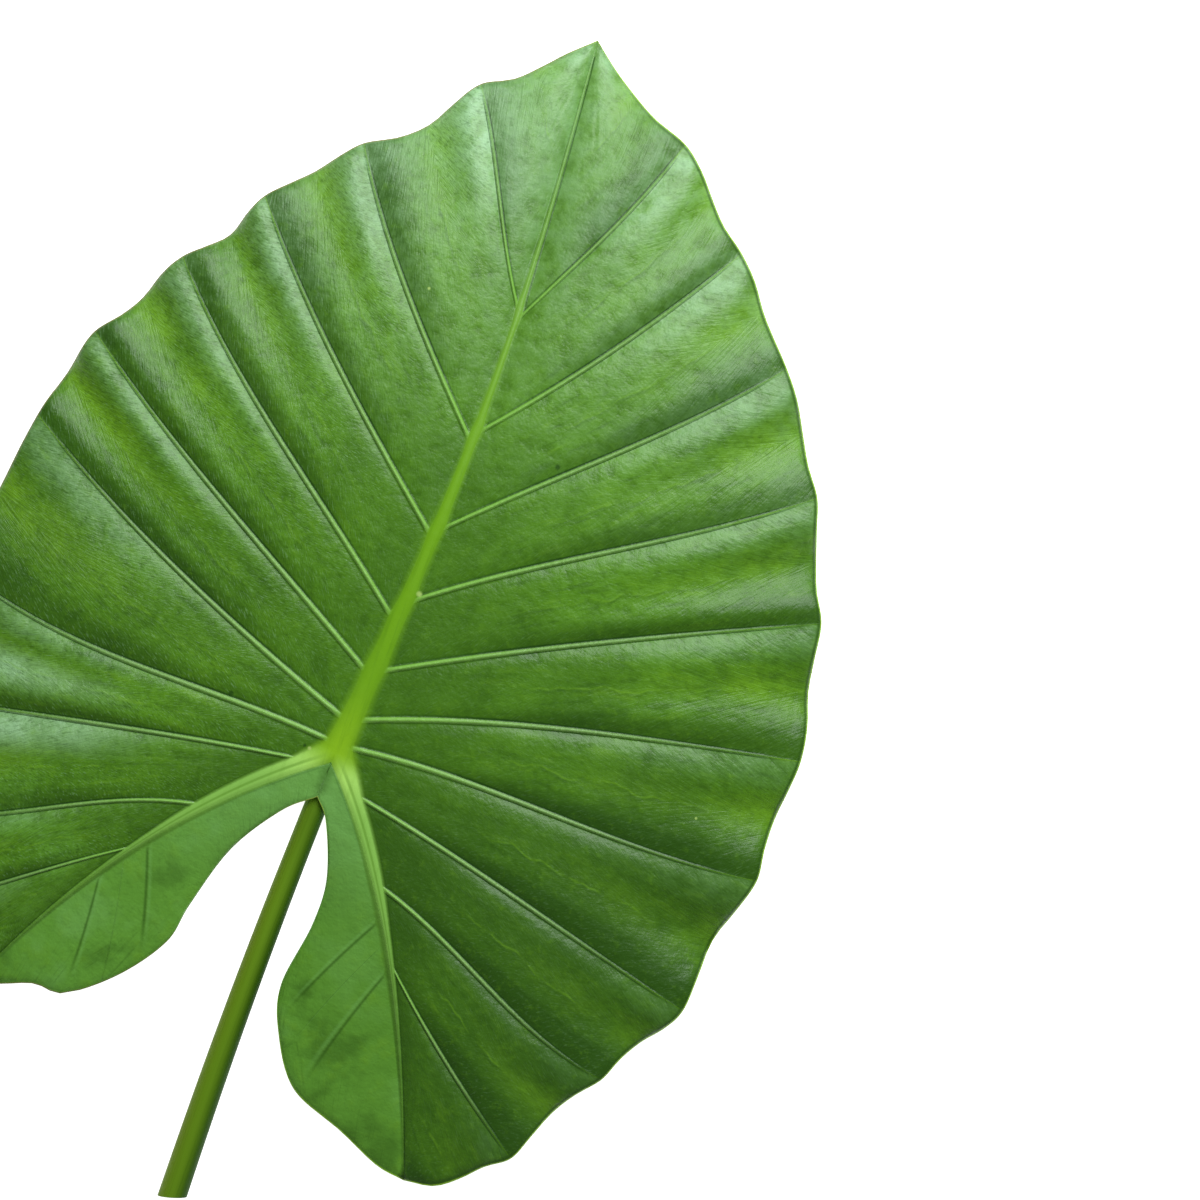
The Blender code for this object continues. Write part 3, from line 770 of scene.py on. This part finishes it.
class Finish:
    """A material with its nodes. The values given with its name go straight to its shader."""

    def __init__(self, name, **values):
        self.material = bpy.data.materials.new(name)
        self.material.use_nodes = True
        self.tree = self.material.node_tree
        self.shader = self.tree.nodes["Principled BSDF"]
        for socket, value in values.items():
            self.shader.inputs[socket.replace("_", " ")].default_value = value

    def node(self, kind, settings, inputs):
        node = self.tree.nodes.new(kind)
        for name, value in settings.items():
            setattr(node, name, value)
        for name, value in inputs.items():
            self.feed(node.inputs[name], value)
        return node

    def feed(self, socket, value):
        if isinstance(value, Field):
            value = value.socket
        if isinstance(value, bpy.types.NodeSocket):
            self.tree.links.new(value, socket)
        else:
            socket.default_value = value

    def attribute(self, name):
        return Field(self, self.node("ShaderNodeAttribute", {"attribute_name": name}, {}).outputs["Fac"])

    def place(self):
        return self.node("ShaderNodeTexCoord", {}, {}).outputs["Object"]

    def part(self, vector, axis):
        """One of the three numbers of a vector."""
        return Field(self, self.node("ShaderNodeSeparateXYZ", {}, {"Vector": vector}).outputs[axis])

    def vector(self, x, y, z):
        return self.node("ShaderNodeCombineXYZ", {}, {"X": x, "Y": y, "Z": z}).outputs[0]

    def grain(self, vector, scale, detail=2.0, roughness=0.5):
        """Soft noise from 0 to 1 with its middle at 0.5."""
        node = self.node(
            "ShaderNodeTexNoise", {},
            {"Vector": vector, "Scale": scale, "Detail": detail, "Roughness": roughness})
        return Field(self, node.outputs["Fac"])

    def drawn(self, u, v, panel, size, detail, roughness):
        """Noise drawn out to a size in two directions, with another pattern for each panel."""
        return self.grain(self.vector(u / size[0], v / size[1], panel), 1.0, detail, roughness)

    def blend(self, share, low, high):
        """Colour between two colours."""
        node = self.node("ShaderNodeMix", {"data_type": "RGBA"}, {0: share, 6: low, 7: high})
        return node.outputs[2]

    def layered(self, colour, *layers):
        """Colour with others laid over it in turn, each given as its share and its colour."""
        for share, over in layers:
            colour = self.blend(share, colour, over)
        return colour

    def relief(self, height, distance, strength=1.0):
        """Normal of a surface with that height on it."""
        node = self.node("ShaderNodeBump", {}, {"Height": height, "Distance": distance, "Strength": strength})
        return node.outputs["Normal"]

    def dressed(self, colour, roughness, normal):
        """The material, once these are fed to its shader."""
        for name, value in (("Base Color", colour), ("Roughness", roughness), ("Normal", normal)):
            self.feed(self.shader.inputs[name], value)
        return self.material


def blade_finish():
    """Waxy green skin: deep green near the ribs, yellow-green near the margin, pale raised veins
    between creases darkened with painted shade, a painted sheen beside them, and a feathering of fine
    veins."""
    skin = Finish("taro_blade_skin", IOR=1.45, Specular_IOR_Level=0.4)
    away, ridge, side, run, reach = (skin.attribute(n) for n in ("away", "ridge", "side", "run", "reach"))
    rib, rim, inner, joint, panel = (skin.attribute(n) for n in ("rib", "rim", "inner", "joint", "panel"))
    under, middle, across, costa = (skin.attribute(n) for n in ("under", "middle", "across", "costa"))
    place = skin.place()
    x, y = skin.part(place, "X"), skin.part(place, "Y")

    # Noise from broad clouds to a fine mottle, then drawn out along the fine veins, the panels, the
    # veins and the ribs
    cloud = skin.grain(place, 9.0)
    patch = skin.grain(place, 24.0, 3.0, 0.6)
    blotch = skin.grain(place, 85.0, 3.0, 0.62)
    mottle = skin.grain(place, 180.0, 3.0, 0.75)
    lag = run - away * FINE_VEIN_SLANT - away * away * FINE_VEIN_BEND + (cloud - 0.5) * FINE_VEIN_WANDER
    feather = skin.drawn(lag, away * (1.3 + away * 0.04), panel, FEATHER_SIZE, 2.0, 0.55)
    wrinkle = skin.drawn(lag, away, panel, WRINKLE_SIZE, 3.0, 0.6)
    flow = skin.drawn(run, middle, panel, FLOW_SIZE, 3.0, 0.62)
    beads = skin.grain(skin.vector(run / BEAD_LENGTH, panel, 0.0), 1.0).step(0.35, 0.65)
    waves = skin.grain(skin.vector(run / WAVE_LENGTH, panel, 0.0), 1.0)
    fibres = skin.grain(skin.vector(x * 330, y * 22, 0.0), 1.0, 3.0, 0.6)

    # Regions of the blade
    outside = 1 - inner
    tipward = y.step(0.12, 0.40)
    apex = tipward * x.step(0.04, -0.03) * y.step(0.26, 0.36)
    lobeward = y.step(0.12, -0.06) * x.step(-0.03, 0.06)
    left = x.step(0.02, -0.08)
    lower_left = left * y.step(-0.04, -0.1) * outside * reach.bell(0.5, 0.5)
    flowing = outside * reach.step(0.08, 0.35) * (1 - tipward * 0.5)

    # Panels: lively green, painted shade before the next vein and, mixed with a darker tone, towards
    # the lobe, yellow in the middle towards the margin, and a broken painted sheen beyond a vein and
    # over the tip
    live = (0.2 + reach.bell(0.5, 0.5) * 0.4 + patch.step(0.35, 0.65) * 0.4) * (1 - lobeward * 0.6)
    # Painted shade on the slope before the next vein; towards the lobe the darkening is partly painted shade
    # and partly a darker tone
    painted_shade_before_vein = side.step(-0.55, -0.97) * reach.step(0.1, 0.5) * outside
    deep = painted_shade_before_vein * 0.6 + cloud.step(0.42, 0.62) * (0.25 - inner * 0.15)
    deep = deep + lobeward * (0.3 + reach.step(0.2, 0.6) * 0.12) * outside
    deep = deep + reach.step(0.4, 0.1) * y.step(0.14, 0.04) * outside * 0.2
    glow = side.bell(0.1, 0.75) * reach.step(0.45, 0.95) * (patch.step(0.35, 0.6) * 0.75 + 0.2) * outside
    # Painted sheen beyond each vein on the slope that faces the soft box, broad on two pale panels, and over
    # the tip
    near = side.step(0.55, 0.98) * reach.step(0.35, 0.8) * (1 - lobeward * reach.step(1.0, 0.7) * 0.8)
    pale = panel.bell(SHEEN_PANEL, 0.5) * side.bell(-0.15, 0.8) * reach.step(0.4, 0.85)
    beside = panel.bell(SHEEN_PANEL + 1, 0.5) * side.step(0.1, 0.9) * reach.step(0.25, 0.7)
    broken = blotch.step(0.32, 0.66)
    painted_sheen = near * (broken * 0.4 + 0.2) * (0.35 + tipward * 0.45 - lobeward * 0.2 + left * 0.25) * outside
    painted_sheen = painted_sheen + pale * (broken * 0.3 + 0.5) + beside * (broken * 0.25 + 0.4)
    painted_sheen = painted_sheen + tipward * (0.06 + broken * 0.28) + apex * 0.22
    milk = inner * (y.step(-0.11, -0.03) * 0.6 + patch.step(0.48, 0.66) * (0.25 + left * 0.25))
    colour = skin.layered(
        skin.blend(live, MID_GREEN, LIVE_GREEN),
        (tipward * 0.35, GLOW_GREEN),
        (blotch.step(0.5, 0.3) * 0.35, DEEP_GREEN),
        (flow.step(0.47, 0.32) * flowing * 0.45, DEEP_GREEN),
        (flow.step(0.53, 0.72) * flowing * 0.5, GLOW_GREEN),
        (inner * (0.6 + left * 0.25), LOBE_GREEN),
        (lower_left * patch.step(0.4, 0.55) * 0.5, LOBE_GREEN),
        (inner * blotch.step(0.5, 0.7) * 0.3, GLOW_GREEN),
        (inner * patch.step(0.47, 0.34) * 0.45, DEEP_GREEN),
        (deep, DEEP_GREEN),
        (glow * (1 - lobeward * 0.5), GLOW_GREEN),
        (milk, NOTCH_GREEN),
        # Painted sheen laid over the colour
        (painted_sheen, SHEEN_GREEN),
        (mottle.step(0.5, 0.28) * (0.28 + left * 0.08 - inner * 0.2), DEEP_GREEN),
        (mottle.step(0.52, 0.75) * (0.2 + left * 0.06 - inner * 0.12), GLOW_GREEN),
        (feather.step(0.48, 0.3) * (0.22 + left * 0.3) * outside, DEEP_GREEN),
        # Pale feather streaks in the colour of the painted sheen
        (feather.step(0.55, 0.72) * (0.1 + left * 0.18) * outside, SHEEN_GREEN),
        (wrinkle.step(0.45, 0.3) * reach.step(0.3, 0.9) * 0.3, DEEP_GREEN))

    # Thin lines: in the middle of a panel, painted shade along the basal rib and beside the tip's
    # midrib, the faint veins of the lobes, and the veins between creases darkened with painted shade
    wave = middle + (waves - 0.5) * WAVE_WIDTH
    fading = reach.step(0.2, 0.45) * reach.step(0.9, 0.75) * blotch.step(0.35, 0.6)
    # Painted shade along the basal rib's edge and in the fold beside the tip's midrib
    costa_shade_line = run.bell(1.5, 1.5) * y.step(0.0, -0.02) * (1 - rib)
    tip_fold_shade = run.bell(1.2, 1.8) * panel.bell(TIP_PANEL, 0.5) * (1 - rib)
    line = inner * reach.step(0.0, 0.1) * reach.step(0.95, 0.6)
    # Painted shade in the creases on both sides of each vein's ridge
    crease = ridge.bell(1.3, 0.45) * side.step(-0.1, 0.3) * (0.5 + reach.step(0.05, 0.4) * 0.4)
    crease = crease + ridge.bell(1.5, 0.8) * side.step(0.1, -0.3)
    crease = crease * reach.step(0.96, 0.88) * (0.45 + reach.step(0.02, 0.35) * 0.55)
    crest = ridge.step(1.05, 0.7) * reach.step(0.92, 0.45) * (1 - (1 - beads) * reach.step(0.1, 0.5) * 0.35)
    colour = skin.layered(
        colour,
        (wave.bell(1.6, 1.6) * fading * 0.25, SHADE_AND_SCAR_GREEN),
        (wave.bell(0, 1.0) * fading * 0.4, GLOW_GREEN),
        (costa_shade_line * (0.5 - inner * 0.2), SHADE_AND_SCAR_GREEN),
        (tip_fold_shade * 0.75, SHADE_AND_SCAR_GREEN),
        (line * away.bell(0.3, 1.3) * 0.65, DEEP_GREEN),
        (line * away.bell(-1.3, 1.4) * 0.35, NOTCH_GREEN),
        (crease, SHADE_AND_SCAR_GREEN),
        (crest, skin.blend(reach.step(0.5, 0.05), VEIN_GREEN, BASE_VEIN_GREEN)))

    # Ribs with their fibres and painted shade towards their edges and in the groove, painted shade in
    # the fold at the joint, the margin with a painted shade rim, and the small marks
    # Painted shade towards the rib's edges, with darker fibres
    rib_edge_shade_and_fibres = across.step(0.2, 0.9) * 0.25 + fibres.step(0.5, 0.3) * 0.3
    basal = skin.blend(rib_edge_shade_and_fibres * 0.4, skin.blend(joint * 1.3, COSTA_GREEN, COSTA_PALE), RIB_SHADE)
    ribs = skin.layered(
        skin.blend(joint, RIB_GREEN, JOINT_GREEN),
        (rib_edge_shade_and_fibres, RIB_SHADE),
        (tipward * 0.7, VEIN_GREEN),
        (costa, basal),
        # Painted shade in the groove along the basal rib
        (across.step(0.3, 0.05) * costa * 0.5, RIB_SHADE))
    # Painted shade in the fold where the two lobes meet below the joint
    fold = x.bell(-0.0005, 0.006) * y.step(-0.027, -0.02) * y.step(-0.005, -0.012) * inner
    colour = skin.layered(
        colour,
        (rib, ribs),
        (fold * 0.5, DEEP_GREEN),
        # Painted shade just inside the margin where it curls down, much stronger on the right half
        (rim.bell(1.6, 1.5) * (0.2 + x.step(0.0, 0.08) * outside * 0.6), DEEP_GREEN),
        (rim.step(0.9, 0.3), skin.blend(x.step(0.02, -0.02), EDGE_GREEN, EDGE_BROWN)))
    for spots, tint in ((SPECKS, SPECK_YELLOW), (SCARS, SHADE_AND_SCAR_GREEN)):
        for spot_x, spot_y, radius in spots:
            off = ((x - spot_x * MM) ** 2 + (y - spot_y * MM) ** 2) ** 0.5
            colour = skin.blend(off.step(radius * 1.5 * MM, radius * 0.4 * MM) * 0.8, colour, tint)

    rough = wrinkle * reach.step(0.2, 0.9) * (0.4 - lobeward * 0.2)
    height = feather * (0.05 + left * 0.09) + rough + blotch * 0.9 + mottle * 0.35
    return skin.dressed(
        skin.blend(under, colour, UNDER_GREEN), 0.37 + (blotch - 0.5) * 0.2,
        skin.relief(height * (1 - rib * 0.8), MM))


def stalk_finish():
    """Smooth green skin with fine lengthwise lines, olive on its left, painted shade on its right,
    and a pale cut end.
    """
    skin = Finish("taro_stalk_skin", IOR=1.45, Specular_IOR_Level=0.12)
    around, cut = skin.attribute("around"), skin.attribute("cut")
    place = skin.place()
    along_stalk = skin.part(place, "Y")
    lines = skin.grain(skin.vector(around * 9.0, along_stalk * 9.0, 0.0), 1.0, 3.0, 0.6)
    cloud = skin.grain(place, 30.0, 3.0, 0.55)
    turn = around.math("ABSOLUTE")
    colour = skin.layered(
        skin.blend(turn.step(1.6, 2.6) * (0.7 + (cloud - 0.5) * 0.8), STALK_GREEN, STALK_OLIVE),
        # Painted shade on the stalk's right side
        (turn.step(1.65, 0.6), STALK_SHADE),
        (along_stalk.step(-0.09, -0.02) * 0.35, STALK_SHADE),
        (turn.step(2.75, 2.95) * 0.6, EDGE_BROWN),
        (lines.step(0.52, 0.75) * 0.35, DEEP_GREEN),
        (cut, CUT_GREEN))
    return skin.dressed(colour, 0.55 + (cloud - 0.5) * 0.2, skin.relief(lines, MM, 0.25))


def turned(right, up):
    """Direction on the table of a direction in the picture."""
    cos, sin = math.cos(VIEW_TURN), math.sin(VIEW_TURN)
    return Vector((right * cos - up * sin, right * sin + up * cos, 0)).normalized()


def make_camera():
    camera = bpy.data.cameras.new("view")
    camera.sensor_width = SENSOR_WIDTH
    camera.lens = SENSOR_WIDTH * (VIEW_HEIGHT - LEAF_LEVEL) / VIEW_WIDTH
    camera.clip_end = 100.0
    obj = bpy.data.objects.new("view", camera)
    obj.location = Vector((*VIEW_MIDDLE, VIEW_HEIGHT)) * MM
    obj.rotation_euler = (0, 0, VIEW_TURN)
    bpy.context.scene.collection.objects.link(obj)
    bpy.context.scene.camera = obj


def make_lights():
    target = Vector((*VIEW_MIDDLE, LEAF_LEVEL)) * MM
    for name, direction, angle, distance, size, power, colour in SOFT_BOXES:
        lamp = bpy.data.lights.new(name, "AREA")
        lamp.shape = "SQUARE"
        lamp.size = size
        lamp.energy = power
        lamp.color = colour
        obj = bpy.data.objects.new(name, lamp)
        angle = math.radians(angle)
        away = turned(*direction) * math.sin(angle) + Vector((0, 0, math.cos(angle)))
        obj.location = target + away * distance
        obj.rotation_mode = "QUATERNION"
        obj.rotation_quaternion = away.to_track_quat("Z", "Y")
        bpy.context.scene.collection.objects.link(obj)
    world = bpy.data.worlds.new("studio")
    world.use_nodes = True
    world.node_tree.nodes["Background"].inputs["Color"].default_value = (1, 1, 1, 1)
    world.node_tree.nodes["Background"].inputs["Strength"].default_value = WORLD_LIGHT
    bpy.context.scene.world = world
    bpy.context.scene.view_settings.view_transform = "Standard"


def make_table():
    """A plain white table that glows a little, so that it stays white beside the leaf."""
    white = Finish(
        "white_table", Base_Color=TABLE_WHITE, Roughness=0.9, Specular_IOR_Level=0.1,
        Emission_Color=(1, 1, 1, 1), Emission_Strength=TABLE_GLOW)
    bm = bmesh.new()
    bmesh.ops.create_grid(bm, x_segments=1, y_segments=1, size=TABLE_SIZE / 2)
    mesh = bpy.data.meshes.new("table")
    bm.to_mesh(mesh)
    bm.free()
    mesh.materials.append(white.material)
    obj = bpy.data.objects.new("table", mesh)
    obj.location.z = -TABLE_GAP * MM
    bpy.context.scene.collection.objects.link(obj)


def main():
    make_camera()
    make_lights()
    make_table()
    halves = (
        Half(1, RIGHT_MIDRIB_VEINS, RIGHT_BASAL_VEINS, RIGHT_SWELLS, RIGHT_TIP_SAG, RIGHT_COSTA,
             RIGHT_INNER_MARGIN, RIGHT_INNER_VEINS),
        Half(-1, LEFT_MIDRIB_VEINS, LEFT_BASAL_VEINS, LEFT_SWELLS, LEFT_TIP_SAG, LEFT_COSTA,
             LEFT_INNER_MARGIN, LEFT_INNER_VEINS),
    )
    blade = make_blade(halves, blade_finish())
    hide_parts("leaf_blade")
    stalk = make_stalk(stalk_finish())
    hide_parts("petiole")


main()
